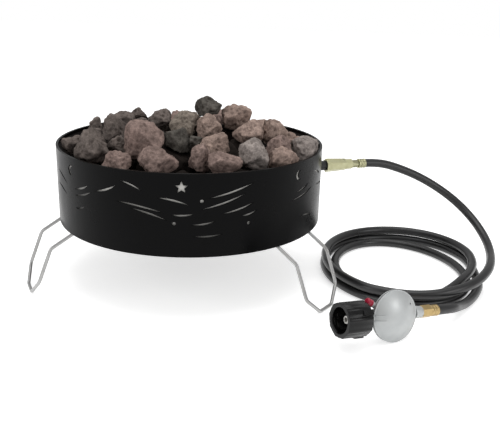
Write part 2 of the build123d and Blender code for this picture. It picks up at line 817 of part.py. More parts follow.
def make_seal():
    """Rubber ring in the nose's groove."""
    place = Pos(nipple_flange_front() - seal_set, 0, 0) * Rot(0, 90, 0)
    return place * Torus(nipple_nose_radius, seal_radius)


def make_hand_nut():
    """Ribbed plastic nut: threaded bore open at the mouth, turning on the nipple's neck."""
    mouth = -nut_mouth_reach
    shoulder = mouth + nut_length
    rear = shoulder + nut_step_length
    body = rod(nut_radius - nut_rib_proud, mouth, shoulder) + rod(nut_step_radius, shoulder, rear)
    ribs = []
    for k in range(nut_rib_count):
        rib = Pos(0, 0, nut_radius - nut_rib_radius) * rod(nut_rib_radius, mouth, shoulder)
        ribs.append(Rot(360 * k / nut_rib_count, 0, 0) * rib)
    lugs = []
    for k in range(3):
        reach = nut_radius + nut_lug_proud
        lug = Box(nut_lug_length, nut_lug_width, reach - nut_step_radius, align=UP)
        lug = Pos(shoulder - nut_lug_length / 2, 0, nut_step_radius) * lug
        lugs.append(Rot(180 + 120 * k, 0, 0) * lug)
    bore = rod(nut_bore, mouth, mouth + nut_bore_depth)
    relief = rod(nut_bore + nut_thread_relief, mouth + nut_thread_end, mouth + nut_bore_depth)
    flare = taper(nut_bore + nut_mouth_chamfer, nut_bore, mouth, mouth + nut_mouth_chamfer)
    neck = rod(nipple_radius + nipple_clearance, mouth, rear)
    return body.fuse(*ribs, *lugs).cut(bore, relief, flare, neck)


def clip(faces, normal, reach):
    """Cuts a convex body, given as loops of corners, by the plane normal . p = reach.

    The plane moves in a little where it would pass too near a corner and leave a sliver.
    """
    heights = [corner.dot(normal) for loop in faces for corner in loop]
    while heights and min(abs(height - reach) for height in heights) < rock_edge:
        reach -= rock_edge
    kept = []
    rim = []
    for loop in faces:
        corners = []
        for here, there in zip(loop, loop[1:] + loop[:1]):
            near = here.dot(normal) - reach
            far = there.dot(normal) - reach
            if near <= 0:
                corners.append(here)
            if near * far < 0:
                crossing = here + (there - here) * (near / (near - far))
                corners.append(crossing)
                rim.append(crossing)
        if len(corners) > 2:
            kept.append(corners)
    if len(rim) > 2:
        kept.append(ordered_rim(rim, normal))
    return kept


def ordered_rim(rim, normal):
    """Corners of the new flat, each once, in order round it."""
    centre = sum(rim, Vector(0, 0, 0)) / len(rim)
    across = (rim[0] - centre).normalized()
    beside = normal.cross(across)
    rim = sorted(rim, key=lambda p: math.atan2((p - centre).dot(beside), (p - centre).dot(across)))
    corners = []
    for k, p in enumerate(rim):
        if (p - rim[k - 1]).length > rock_gap / 100:
            corners.append(p)
    return corners


def block(centre):
    """Cube round a point, as loops of corners."""
    half = rock_block / 2
    faces = []
    for axis in range(3):
        for side in (-1, 1):
            loop = []
            for u, v in ((-1, -1), (1, -1), (1, 1), (-1, 1)):
                corner = [u, v]
                corner.insert(axis, side)
                loop.append(centre + Vector(*corner) * half)
            faces.append(loop)
    return faces


def facet_ways(k):
    """Directions of a lump's own facets, spread evenly and turned differently on each lump."""
    ways = []
    golden = math.pi * (3 - math.sqrt(5))
    for i in range(rock_facets):
        height = 1 - (2 * i + 1) / rock_facets
        round_radius = math.sqrt(1 - height * height)
        angle = golden * i + k
        way = Vector(round_radius * math.cos(angle), round_radius * math.sin(angle), height)
        ways.append(way.rotate(Axis.X, 37 * k).rotate(Axis.Y, 53 * k))
    return ways


def rock_reach(rock, way):
    """Distance from a lump's middle to its side in a direction."""
    _, size, stretch, axis = rock
    return size * math.sqrt(1 + (stretch * stretch - 1) * way.dot(axis) ** 2)


def rock_rest(rock):
    """Level that a lump may come down to: burner, inlet or the pan's floor."""
    centre, size, stretch, _ = rock
    reach = size * max(stretch, 1) * (1 + rock_wobble_share)
    across = math.hypot(centre.X, centre.Y)
    inlet = Vector(1, 0, 0).rotate(Axis.Z, inlet_azimuth)
    beside = abs(centre.cross(inlet).Z)
    if inlet.dot(centre) > 0 and beside < reach + bulkhead_hex / math.sqrt(3):
        return inlet_height + bulkhead_hex / math.sqrt(3) + rock_gap
    if across - reach < burner_radius + burner_half_width + rock_gap:
        return burner_top + rock_gap
    return pan_floor_height + rock_gap


def lump(k, rocks):
    """Faces of one rock: a faceted lump cut back from its neighbours, its bed and the pan's wall."""
    rock = rocks[k]
    centre = rock[0]
    faces = block(centre)
    for i, way in enumerate(facet_ways(k)):
        wobble = 1 + rock_wobble_share * math.sin(7 * i + 3 * k)
        faces = clip(faces, way, way.dot(centre) + rock_reach(rock, way) * wobble)
    for other in rocks[:k] + rocks[k + 1:]:
        span = other[0] - centre
        way = span.normalized()
        near = rock_reach(rock, way)
        far = rock_reach(other, way)
        if span.length < 2 * (near + far):
            share = (1 + (near * near - far * far) / span.dot(span)) / 2
            faces = clip(faces, way, way.dot(centre + span * share) - rock_gap / 2)
    faces = clip(faces, Vector(0, 0, -1), -rock_rest(rock))
    wall_reach = (pan_bore - rock_gap) * math.cos(math.radians(wall_facet_angle) / 2)
    azimuth = math.degrees(math.atan2(centre.Y, centre.X))
    for i in range(wall_facet_count):
        turn = azimuth + (i - wall_facet_count // 2) * wall_facet_angle
        faces = clip(faces, Vector(1, 0, 0).rotate(Axis.Z, turn), wall_reach)
    return faces


def bed_places():
    """Shares of the rocks that lie in rings under the others."""
    places = []
    for count, away_share, lift_share, size_share, stretch_share in bed_shares:
        for k in range(count):
            x_share = away_share * math.cos(math.tau * k / count)
            y_share = away_share * math.sin(math.tau * k / count)
            places.append((x_share, y_share, lift_share, size_share, stretch_share, 0, 1 / 4))
    return places


def make_rocks():
    """All lumps as one group, without those that their neighbours leave no room."""
    rocks = []
    for place in rock_shares + bed_places():
        x_share, y_share, lift_share, size_share, stretch, turn_share, tilt_share = place
        centre = Vector(x_share * pan_bore, y_share * pan_bore, rim_height + lift_share * bowl_height)
        axis = Vector(1, 0, 0).rotate(Axis.Y, -360 * tilt_share).rotate(Axis.Z, 360 * turn_share)
        rocks.append((centre, size_share * rock_size, stretch, axis))
    solids = []
    for k in range(len(rocks)):
        faces = lump(k, rocks)
        if len(faces) > 3:
            sides = [Face(Wire.make_polygon(loop)) for loop in faces]
            solids.append(Solid(Shell(sides)))
    return Compound(solids)


def save(name, piece):
    """Writes one node, with the bowl and its legs centred on the origin."""
    export_step(Pos(0, bowl_axis_y, 0) * piece, f"parts/{name}.step")


def make_hose():
    """Coil and the two free stretches that meet its ends."""
    coil, edges, coil_start, coil_end = wound_tube(
        coil_point, coil_way, coil_start_turn, coil_turns, hose_radius
    )
    coil_length = sum(edge.length for edge in edges)
    share = coil.volume / (math.pi * hose_radius ** 2 * coil_length)
    print("coil length", round(coil_length), "volume share", round(share, 4))
    print("coil least gap to itself", round(least_gap(edges, hose_radius), 2))
    bowl_end = inlet_place(Pos(hose_start, 0, 0)).position
    bowl_lead = inlet_place(Pos(hose_start + hose_lead, 0, 0)).position
    valve_end = regulator_place(Pos(tail_start, 0, 0)).position
    valve_lead = regulator_place(Pos(tail_start + hose_lead, 0, 0)).position
    coil_lead = coil_start - coil_way(coil_start_turn) * hose_lead
    run_lead = coil_end + coil_way(coil_start_turn + coil_turns) * hose_lead
    run = [coil_end, run_lead] + [Vector(*p) for p in run_points] + [bowl_lead, bowl_end]
    tail = [valve_end, valve_lead] + [Vector(*p) for p in tail_points] + [coil_lead, coil_start]
    save("hose_coil", coil)
    save("hose_run", hose_stretch("run", run))
    save("hose_tail", hose_stretch("tail", tail))


os.makedirs("parts", exist_ok=True)
save("skirt", make_skirt())
save("fire_pan", make_fire_pan())
for leg_name, leg_azimuth in leg_azimuths.items():
    save(f"bracket_{leg_name}", make_bracket(leg_azimuth))
    save(f"leg_{leg_name}", make_leg(leg_azimuth))
save("ring_burner", make_burner())
save("burner_saddles", make_saddles())
bulkhead_start, bulkhead = make_bulkhead()
save("inlet_bulkhead", bulkhead)
save("feed_tube", make_feed_tube(bulkhead_start))
save("gas_jet", make_jet(bulkhead_start))
save("inlet_locknut", make_locknut())
save("swivel_nut", make_swivel_nut())
save("hose_tailpiece", make_tailpiece())
save("ferrule_bowl", inlet_place(ferrule(inlet_ferrule_start)))
make_hose()
save("regulator_body", regulator_place(make_regulator_body()))
save("regulator_cover", regulator_place(make_regulator_cover()))
save("diaphragm", regulator_place(make_diaphragm()))
save("diaphragm_plate", regulator_place(make_diaphragm_plate()))
save("regulator_spring", regulator_place(make_spring()))
save("vent_cap", regulator_place(make_vent_cap()))
save("outlet_nut", regulator_place(make_outlet_nut()))
save("ferrule_regulator", regulator_place(ferrule(outlet_ferrule_start)))
save("inlet_nipple", regulator_place(make_nipple()))
save("nipple_seal", regulator_place(make_seal()))
save("hand_nut", regulator_place(make_hand_nut()))
save("lava_rocks", make_rocks())
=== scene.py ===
import math

import bmesh
import bpy
import numpy as np
from mathutils import Euler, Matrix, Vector, noise


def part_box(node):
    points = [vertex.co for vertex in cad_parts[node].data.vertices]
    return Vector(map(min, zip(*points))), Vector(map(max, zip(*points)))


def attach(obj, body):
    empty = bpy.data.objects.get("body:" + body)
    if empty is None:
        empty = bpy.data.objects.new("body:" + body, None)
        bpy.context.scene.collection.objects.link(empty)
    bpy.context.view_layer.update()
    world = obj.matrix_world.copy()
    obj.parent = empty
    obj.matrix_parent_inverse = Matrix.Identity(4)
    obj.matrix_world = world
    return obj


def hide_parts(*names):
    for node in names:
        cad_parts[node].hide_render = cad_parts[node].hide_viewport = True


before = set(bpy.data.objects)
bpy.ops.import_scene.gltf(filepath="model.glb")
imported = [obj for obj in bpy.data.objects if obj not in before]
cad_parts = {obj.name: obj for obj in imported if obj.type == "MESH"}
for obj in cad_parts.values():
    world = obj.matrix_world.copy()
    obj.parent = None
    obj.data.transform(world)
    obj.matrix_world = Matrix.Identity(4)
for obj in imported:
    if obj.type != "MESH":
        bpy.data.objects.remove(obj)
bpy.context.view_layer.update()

bl_info = {
    "name": "Portable Propane Fire Pit",
    "version": (1, 0, 0),
    "blender": (4, 5, 0),
    "location": "View3D > Sidebar > Fire Pit",
    "description": "Dresses the fire pit's solids: hose, lava rock, paint, wire, brass and casting",
    "category": "Object",
}

MM = 0.001
SKIRT_LOW, SKIRT_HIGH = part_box("skirt")
AXIS = Vector(((SKIRT_LOW.x + SKIRT_HIGH.x) / 2, (SKIRT_LOW.y + SKIRT_HIGH.y) / 2, 0))

# The hose's route from the bowl down to the coil and from the coil to the regulator, in metres from the
# bowl's axis, as the solids have it. Near the coil its points are moved to lie as in the photograph.
BOWL_END = Vector((0.2766, 0.1261, 0.158))
BOWL_WAY = Vector((0.90996, 0.41469, 0.0))
RUN_POINTS = [
    (0.342, 0.151, 0.145),
    (0.380, 0.162, 0.128),
    (0.417, 0.164, 0.107),
    (0.446, 0.157, 0.087),
    (0.467, 0.140, 0.069),
    (0.480, 0.115, 0.055),
    (0.487, 0.082, 0.043),
    (0.485, 0.044, 0.037),
    (0.478, 0.008, 0.037),
    (0.467, -0.026, 0.036),
    (0.449, -0.056, 0.032),
    (0.426, -0.080, 0.029),
    (0.399, -0.096, 0.026),
    (0.369, -0.105, 0.023),
    (0.335, -0.106, 0.0216),
    (0.300, -0.098, 0.0216),
]
TAIL_POINTS = [
    (0.4595, -0.010, 0.007),
    (0.452, -0.036, 0.007),
    (0.441, -0.063, 0.007),
    (0.426, -0.090, 0.008),
    (0.4085, -0.1175, 0.014),
]
VALVE_END = Vector((0.3712, -0.1579, 0.0251))
VALVE_WAY = Vector((0.83408, 0.54166, -0.10453))
COIL_POINTS_PER_TURN = 20
# Steps round a quarter of the hose, and from one of its points to the next.
ROUND_STEPS = 7
LINE_STEPS = 10

# How narrow each swelling of the coil is: a higher power keeps it narrower.
BULGE_POWER = 8
SAG_POWER = 3
FAN_POWER = 2
DENT_POWER = 3

# Camera at the photograph's angle: place in metres, lens and sensor in millimetres, angles in degrees.
CAMERA_PLACE = (0.1976, -1.0934, 0.4471)
CAMERA_TILT = 71.58
CAMERA_TURN = 5.49
CAMERA_ROLL = 1.6043
LENS = 51.06
SENSOR_WIDTH = 36.0

# White surroundings: how bright the room is as light, how much the floor is lifted where it is seen or
# mirrored, and half the floor's width in metres.
ROOM_LIGHT = 0.55
FLOOR_LIFT = 0.55
FLOOR_HALF = 6.0

# Names of the solids that share a finish, and last those of the small pieces on the regulator.
HOSE_END_NODES = ["swivel_nut", "hose_tailpiece", "ferrule_bowl"]
BOWL_BRASS_NODES = HOSE_END_NODES + ["gas_jet"]
VALVE_BRASS_NODES = ["ferrule_regulator", "outlet_nut"]
CASTING_NODES = ["regulator_body", "regulator_cover"]
LEG_NODES = ["leg_rear", "leg_left", "leg_right"]
PAINTED_NODES = ["skirt", "bracket_rear", "bracket_left", "bracket_right"]
BURNER_NODES = ["ring_burner", "burner_saddles", "feed_tube", "diaphragm_plate", "regulator_spring"]
BLACK_STEEL_NODES = ["inlet_bulkhead", "inlet_locknut"]
SEAL_NODES = ["diaphragm", "nipple_seal"]

# Colours of the rocks that show, by where they lie: millimetres from the bowl's axis on the ground.
ROCK_TONES = [
    ("rock_brown", -72, -152, 211), ("rock_brown", -16, -156, 214), ("rock_brown", 38, -132, 219),
    ("rock_brown", 72, -144, 216), ("rock_ash", 110, -106, 217), ("rock_pink", 148, -100, 217),
    ("rock_grey", -120, -116, 219), ("rock_grey", -170, -56, 208), ("rock_brown", -50, -100, 234),
    # Painted shade: the dark tone at (-6, -80) stands for a rock that lies in shadow behind the front rocks.
    ("rock_dark", -6, -80, 222), ("rock_pink", 50, -88, 224), ("rock_brown", 140, -52, 217),
    ("rock_ash", 180, -32, 212), ("rock_grey", -106, -48, 233), ("rock_olive", -6, -12, 239),
    ("rock_pink", 30, -20, 236), ("rock_pink", 92, -14, 232), ("rock_pink", 128, 0, 230),
    ("rock_grey", -160, 8, 206), ("rock_grey", -112, 20, 228), ("rock_grey", -52, 32, 235),
    ("rock_dark", 20, 40, 254), ("rock_brown", 24, 36, 233), ("rock_pink", 64, 50, 243),
    ("rock_grey", -106, 84, 228), ("rock_grey", -170, 60, 209), ("rock_brown", 0, 140, 205),
]
# Rocks below this level get painted shade for the dark gaps between the top rocks, apart from those that lie
# open behind the heap, this far from the axis.
DEEP_SHADE_LEVEL = 0.203
OPEN_BEHIND = 0.085
# Rocks above this level have more points, because they show from near by.
FINE_LEVEL = 0.19
FINE_SPLITS = 5
COARSE_SPLITS = 4
# Least room from a rock's middle to a face of its solid, and least span of the rock itself.
LEAST_ROOM = 4 * MM
LEAST_SPAN = 2 * MM
# Points of a solid nearer than this are one point, and faces smaller than this are left out.
SAME_POINT = 0.001 * MM
SMALL_FACE = MM * MM
# Fractal noise of lumps and grit: smoothness, step from layer to layer and layers.
LUMP_NOISE = (1.0, 2.0, 3)
GRIT_NOISE = (0.8, 2.1, 3)
# How far the pattern is moved along each axis from one rock to the next.
PATTERN_STEPS = (1.7, 2.3, 0.9)
# Shares of lumps, grit and pores that stand proud, sink in, are open and get painted shade.
LUMP_PROUD_SHARE = 0.1
GRIT_SUNK_SHARE = 0.35
GRIT_DEPTH_SHARE = 0.6
PORE_OPEN_SHARE = 0.42
PORE_SHADE_SHARE = 0.5

# Noise seldom leaves this range, so a finish goes from end to end of its own range within it.
NOISE_RANGE = {"From Min": 0.3, "From Max": 0.7}

# Broken edges of the solids: points nearer than this are one point, rounds of a bevel, and least angle.
WELD_REACH = 0.01 * MM
EDGE_ROUNDS = 2
EDGE_ANGLE = math.radians(40)


def linear(code):
    """Linear RGBA of an sRGB hex colour."""
    channels = [int(code[k:k + 2], 16) / 255 for k in (1, 3, 5)]
    curve = [c / 12.92 if c <= 0.04045 else ((c + 0.055) / 1.055) ** 2.4 for c in channels]
    return (*curve, 1.0)


def colour(name, description, code):
    """Colour property with an sRGB hex default."""
    return bpy.props.FloatVectorProperty(
        name=name, description=description, subtype="COLOR", size=4, min=0, max=1, default=linear(code)
    )


def length(name, description, millimetres):
    """Length property with a default in millimetres."""
    return bpy.props.FloatProperty(
        name=name, description=description, unit="LENGTH", subtype="DISTANCE", default=millimetres * MM
    )


def turns(name, description, value):
    """Property in turns of the coil."""
    return bpy.props.FloatProperty(name=name, description=description, default=value)


def degrees(name, description, value):
    """Angle property with a default in degrees."""
    return bpy.props.FloatProperty(
        name=name, description=description, subtype="ANGLE", default=math.radians(value)
    )


class FirePitHose(bpy.types.PropertyGroup):
    """Sizes of the gas hose and of its loose coil."""

    diameter: length("Diameter", "Outside of the hose", 14.0)
    lead: length("Lead", "Straight stretch at each fitting", 28.0)
    centre_x: length("Coil centre X", "Middle of the coil, from the bowl's axis", 338.4)
    centre_y: length("Coil centre Y", "Middle of the coil, from the bowl's axis", 37.3)
    half_width: length("Coil half width", "Half of the oval's short axis", 124.0)
    half_depth: length("Coil half depth", "Half of the oval's long axis", 152.0)
    layer: length("Layer", "Rise from the lower to the upper layer of turns", 14.6)
    step: length("Step", "How far the second turn lies inside the first", 15.8)
    dip: length("Dip", "How much further inside it lies in front", 11.0)
    fan: length("Fan", "How much further inside it lies behind", 20.0)
    dent: length("Dent", "How far the upper turn sags inward behind", 13.0)
    sag: length("Sag", "How far the first turn lies inward behind", 13.0)
    bulge: length("Bulge", "How far the outer turns bulge outward at the side", 14.0)
    start: turns("Start", "Turn at which the coil begins", 0.02)
    end: turns("End", "Turn at which the coil ends", 2.63)
    inward: turns("Inward", "Turn at which the hose moves inside its first turn", 0.55)
    inward_turns: turns("Inward turns", "Turns in which it does", 0.4)
    dip_start: turns("Dip start", "Turn at which it moves further inside", 1.5)
    dip_turns: turns("Dip turns", "Turns in which it does", 0.25)
    climb: turns("Climb", "Turn at which the hose climbs onto its first turns", 1.76)
    climb_turns: turns("Climb turns", "Turns in which it does", 0.14)
    outward: turns("Outward", "Turn at which the hose crosses outward", 1.82)
    outward_turns: turns("Outward turns", "Turns in which it does", 0.23)
    fan_azimuth: degrees("Fan azimuth", "Where the inner turn lies furthest inside", 78.0)
    dent_azimuth: degrees("Dent azimuth", "Where the upper turn sags inward", 100.0)
    sag_azimuth: degrees("Sag azimuth", "Where the first turn lies furthest inward", 92.0)
    bulge_azimuth: degrees("Bulge azimuth", "Where the outer turns bulge outward", 36.0)
    azimuth: degrees("Azimuth", "Turn of the whole coil", 10.5)


class FirePitRocks(bpy.types.PropertyGroup):
    """Shape of the lava rocks."""

    inset: length("Inset", "Gap left inside each rock's own room", 0.3)
    lump: length("Lumps", "Height of the broad lumps", 3.6)
    lump_size: length("Lump size", "Width of the broad lumps", 15.0)
    grit: length("Grit", "Height of the fine roughness", 1.3)
    grit_size: length("Grit size", "Width of the fine roughness", 5.5)
    pore: length("Pores", "Depth of the gas pores", 1.3)
    pore_size: length("Pore spacing", "Distance from one gas pore to the next", 8.0)
    roundness: bpy.props.FloatProperty(
        name="Corner power", description="Higher keeps a rock's corners sharper", default=30.0
    )


class FirePitColours(bpy.types.PropertyGroup):
    """Colours of the finishes."""

    paint: colour("Paint", "Heat-proof paint of the bowl", "#050505")
    soot: colour("Pan inside", "Dark inside of the fire pan", "#1a1817")
    zinc: colour("Zinc", "Coated sheet of the pan's outside, seen through the ornament", "#e6e4df")
    steel: colour("Bare steel", "Burner and its supports", "#b9b6b0")
    wire: colour("Wire", "Plated wire of the legs", "#c4c5c6")
    brass: colour("Brass", "Machined brass fittings at the bowl", "#bab99a")
    yellow_brass: colour("Yellow brass", "Machined brass fittings at the regulator", "#c6b081")
    nickel: colour("Nickel", "Plated nipple inside the hand nut", "#e2e1dc")
    rubber: colour("Hose", "Outer rubber of the hose", "#131314")
    casting: colour("Casting", "Die-cast case of the regulator", "#c3c5c4")
    cap: colour("Cap", "Plastic cap on the regulator's vent", "#a80d35")
    nut: colour("Hand nut", "Moulded hand nut", "#080808")
    rock_brown: colour("Rock brown", "Commonest colour of the lava rock", "#8a7770")
    rock_pink: colour("Rock pink", "Palest lava rock", "#9b877d")
    rock_grey: colour("Rock grey", "Grey lava rock", "#6c635e")
    rock_ash: colour("Rock ash", "Ash-grey lava rock", "#908782")
    rock_olive: colour("Rock olive", "Lava rock with a green cast", "#857b71")
    # Also used as painted shade on the rock that lies in shadow behind the front rocks.
    rock_dark: colour("Rock dark", "Dark lava rock", "#5a5651")
    # Painted shade: this near-black colour stands for the shade in the gaps between the top rocks, on the
    # rocks deep in the heap.
    rock_deep_shade: colour("Rock soot", "Sooty lava rock deep in the heap", "#211c19")
    floor: colour("Floor", "Studio floor", "#f4f4f4")


def add(tree, kind, inputs=None, **settings):
    """Adds a node, sets its settings, and sets or links its inputs."""
    node = tree.nodes.new(kind)
    for name, value in settings.items():
        setattr(node, name, value)
    for name, value in (inputs or {}).items():
        if isinstance(value, bpy.types.NodeSocket):
            tree.links.new(value, node.inputs[name])
        else:
            node.inputs[name].default_value = value
    return node


def new_material(name):
    """Empty material, its tree and the place on the object that its patterns follow."""
    made = bpy.data.materials.new(name)
    made.use_nodes = True
    made.node_tree.nodes.clear()
    place = add(made.node_tree, "ShaderNodeTexCoord").outputs["Object"]
    return made, made.node_tree, place


def finish_material(tree, shader):
    """Joins the shader to the material's output."""
    add(tree, "ShaderNodeOutputMaterial", {"Surface": shader.outputs[0]})


def per(millimetres):
    """Pattern scale for a feature of that real size."""
    return 1 / (millimetres * MM)


def heat_paint(colours):
    """Heat-proof paint sprayed on sheet steel: black, satin, with a faint orange peel and dusty patches."""
    made, tree, place = new_material("heat_proof_paint")
    # Orange peel is finer than a pixel at 1 mm, so it is drawn at 2.5 mm.
    peel = add(tree, "ShaderNodeTexNoise", {"Vector": place, "Scale": per(2.5), "Detail": 3.0})
    dust = add(tree, "ShaderNodeTexNoise", {"Vector": place, "Scale": per(45.0), "Detail": 4.0})
    tint = add(
        tree, "ShaderNodeMix",
        {0: dust.outputs["Fac"], 6: colours.paint, 7: linear("#0a0a0b")},
        data_type="RGBA",
    )
    rough = add(
        tree, "ShaderNodeMapRange",
        {"Value": dust.outputs["Fac"], **NOISE_RANGE, "To Min": 0.24, "To Max": 0.34},
    )
    bump = add(
        tree, "ShaderNodeBump", {"Height": peel.outputs["Fac"], "Strength": 0.12, "Distance": 0.4 * MM}
    )
    shader = add(
        tree, "ShaderNodeBsdfPrincipled",
        {
            "Base Color": tint.outputs[2], "Roughness": rough.outputs[0], "Normal": bump.outputs[0],
            "IOR": 1.5, "Specular IOR Level": 0.06,
        },
    )
    finish_material(tree, shader)
    return made


def bright_metal(name, base, grain, rough, metal=1.0):
    """Rolled, drawn or plated metal: fine grain along it and cloudy bright and dull patches."""
    made, tree, place = new_material(name)
    # Rolling and drawing lines are far finer than the grain given, which is as coarse as it needs to show.
    stretch = add(tree, "ShaderNodeMapping", {"Vector": place, "Scale": (1.0, 1.0, 0.08)})
    lines = add(
        tree, "ShaderNodeTexNoise", {"Vector": stretch.outputs[0], "Scale": per(grain), "Detail": 3.0}
    )
    cloud = add(tree, "ShaderNodeTexNoise", {"Vector": place, "Scale": per(30.0), "Detail": 4.0})
    tint = add(
        tree, "ShaderNodeMix",
        {0: cloud.outputs["Fac"], 6: base, 7: linear("#8f8c88")},
        data_type="RGBA",
    )
    roughness = add(
        tree, "ShaderNodeMapRange",
        {"Value": lines.outputs["Fac"], **NOISE_RANGE, "To Min": rough, "To Max": rough + 0.16},
    )
    bump = add(
        tree, "ShaderNodeBump", {"Height": lines.outputs["Fac"], "Strength": 0.15, "Distance": 0.2 * MM}
    )
    shader = add(
        tree, "ShaderNodeBsdfPrincipled",
        {
            "Base Color": tint.outputs[2], "Metallic": metal,
            "Roughness": roughness.outputs[0], "Normal": bump.outputs[0],
        },
    )
    return made, tree, place, shader


def bare_metal(name, base, grain, rough):
    """Bright metal with nothing over it."""
    made, tree, place, shader = bright_metal(name, base, grain, rough)
    finish_material(tree, shader)
    return made


def pan_steel(colours):
    """Fire pan of zinc-coated sheet: pale outside, with painted shade low down and on the left side, sooty
    inside.
    """
    made, tree, place, steel = bright_metal("zinc_coated_sheet", colours.zinc, 3.0, 0.5, metal=0.35)
    low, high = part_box("fire_pan")
    unshaded_tint = steel.inputs["Base Color"].links[0].from_socket
    spot = add(tree, "ShaderNodeSeparateXYZ", {0: place})
    level = spot.outputs["Z"]
    # Painted shade: the sheet is painted darker from 20 to 80 mm below the rim, where less light reaches it
    # through the ornament.
    # A second painted shade on the left side starts 24 mm below the rim, is full from 44 mm on, and fades out
    # across the middle of the pan.
    bright = add(
        tree, "ShaderNodeMapRange",
        {
            "Value": level, "From Min": high.z - 80 * MM, "From Max": high.z - 20 * MM,
            "To Min": 0.26, "To Max": 1.0,
        },
    )
    kept = add(
        tree, "ShaderNodeMapRange",
        {
            "Value": level, "From Min": high.z - 44 * MM, "From Max": high.z - 24 * MM,
            "To Min": 0.28, "To Max": 1.0,
        },
    )
    side_shade = add(
        tree, "ShaderNodeMapRange",
        {
            "Value": spot.outputs["X"], "From Min": AXIS.x - 95 * MM, "From Max": AXIS.x + 15 * MM,
            "To Min": kept.outputs[0], "To Max": 1.0,
        },
    )
    # Both painted shades darken the sheet's own colour here.
    shade_factor = add(tree, "ShaderNodeMath", {0: bright.outputs[0], 1: side_shade.outputs[0]}, operation="MULTIPLY")
    shaded_tint = add(tree, "ShaderNodeVectorMath", {0: unshaded_tint, "Scale": shade_factor.outputs[0]}, operation="SCALE")
    tree.links.new(shaded_tint.outputs[0], steel.inputs["Base Color"])
    # Inside means nearer to the axis than the middle of the wall, and above the middle of the floor.
    wall = (high.x - low.x) / 2 - 0.4 * MM
    middle = add(tree, "ShaderNodeVectorMath", {0: place, 1: AXIS}, operation="SUBTRACT")
    flat = add(
        tree, "ShaderNodeVectorMath", {0: middle.outputs[0], 1: (1.0, 1.0, 0.0)}, operation="MULTIPLY"
    )
    away = add(tree, "ShaderNodeVectorMath", {0: flat.outputs[0]}, operation="LENGTH")
    inside = add(tree, "ShaderNodeMath", {0: away.outputs["Value"], 1: wall}, operation="LESS_THAN")
    above = add(tree, "ShaderNodeMath", {0: level, 1: low.z + 0.5 * MM}, operation="GREATER_THAN")
    dark = add(tree, "ShaderNodeMath", {0: inside.outputs[0], 1: above.outputs[0]}, operation="MULTIPLY")
    ash = add(tree, "ShaderNodeTexNoise", {"Vector": place, "Scale": per(8.0), "Detail": 5.0})
    tint = add(
        tree, "ShaderNodeMix",
        {0: ash.outputs["Fac"], 6: colours.soot, 7: linear("#2b2725")},
        data_type="RGBA",
    )
    soot = add(tree, "ShaderNodeBsdfPrincipled", {"Base Color": tint.outputs[2], "Roughness": 0.75})
    both = add(tree, "ShaderNodeMixShader", {0: dark.outputs[0], 1: steel.outputs[0], 2: soot.outputs[0]})
    finish_material(tree, both)
    return made


def machined_brass(name, base, dull):
    """Turned brass: pale to yellow, with fine tool marks and dull patches of tarnish."""
    made, tree, place = new_material(name)
    # Tool marks are far finer than a pixel, so they are drawn at 1.2 mm.
    marks = add(tree, "ShaderNodeTexNoise", {"Vector": place, "Scale": per(1.2), "Detail": 2.0})
    tarnish = add(tree, "ShaderNodeTexNoise", {"Vector": place, "Scale": per(9.0), "Detail": 4.0})
    tint = add(
        tree, "ShaderNodeMix",
        {0: tarnish.outputs["Fac"], 6: base, 7: linear(dull)},
        data_type="RGBA",
    )
    rough = add(
        tree, "ShaderNodeMapRange",
        {"Value": tarnish.outputs["Fac"], **NOISE_RANGE, "To Min": 0.26, "To Max": 0.42},
    )
    bump = add(
        tree, "ShaderNodeBump", {"Height": marks.outputs["Fac"], "Strength": 0.12, "Distance": 0.2 * MM}
    )
    shader = add(
        tree, "ShaderNodeBsdfPrincipled",
        {
            "Base Color": tint.outputs[2], "Metallic": 1.0,
            "Roughness": rough.outputs[0], "Normal": bump.outputs[0],
        },
    )
    finish_material(tree, shader)
    return made


def die_casting(colours):
    """Zinc die casting: pale satin grey with a sandy grain and dull patches."""
    made, tree, place = new_material("die_casting")
    # The grain of the mould is finer than a pixel, so it is drawn at 1.4 mm.
    sand = add(tree, "ShaderNodeTexNoise", {"Vector": place, "Scale": per(1.4), "Detail": 3.0})
    cloud = add(tree, "ShaderNodeTexNoise", {"Vector": place, "Scale": per(16.0), "Detail": 3.0})
    tint = add(
        tree, "ShaderNodeMix",
        {0: cloud.outputs["Fac"], 6: colours.casting, 7: linear("#afb2b3")},
        data_type="RGBA",
    )
    rough = add(
        tree, "ShaderNodeMapRange",
        {"Value": cloud.outputs["Fac"], **NOISE_RANGE, "To Min": 0.4, "To Max": 0.52},
    )
    bump = add(
        tree, "ShaderNodeBump", {"Height": sand.outputs["Fac"], "Strength": 0.2, "Distance": 0.25 * MM}
    )
    shader = add(
        tree, "ShaderNodeBsdfPrincipled",
        {
            "Base Color": tint.outputs[2], "Metallic": 0.55,
            "Roughness": rough.outputs[0], "Normal": bump.outputs[0],
        },
    )
    finish_material(tree, shader)
    return made


def even_skin(name, base, shade, rough, gloss=0.5):
    """Moulded plastic, rubber or blackened steel: even colour, faint clouds and a fine grain."""
    made, tree, place = new_material(name)
    flow = add(tree, "ShaderNodeTexNoise", {"Vector": place, "Scale": per(12.0), "Detail": 3.0})
    # The grain is finer than a pixel, so it is drawn at 1 mm.
    grain = add(tree, "ShaderNodeTexNoise", {"Vector": place, "Scale": per(1.0), "Detail": 2.0})
    tint = add(tree, "ShaderNodeMix", {0: flow.outputs["Fac"], 6: base, 7: linear(shade)}, data_type="RGBA")
    roughness = add(
        tree, "ShaderNodeMapRange",
        {"Value": flow.outputs["Fac"], **NOISE_RANGE, "To Min": rough, "To Max": rough + 0.1},
    )
    bump = add(
        tree, "ShaderNodeBump", {"Height": grain.outputs["Fac"], "Strength": 0.15, "Distance": 0.15 * MM}
    )
    shader = add(
        tree, "ShaderNodeBsdfPrincipled",
        {
            "Base Color": tint.outputs[2], "Roughness": roughness.outputs[0], "Normal": bump.outputs[0],
            "IOR": 1.46, "Specular IOR Level": gloss,
        },
    )
    finish_material(tree, shader)
    return made


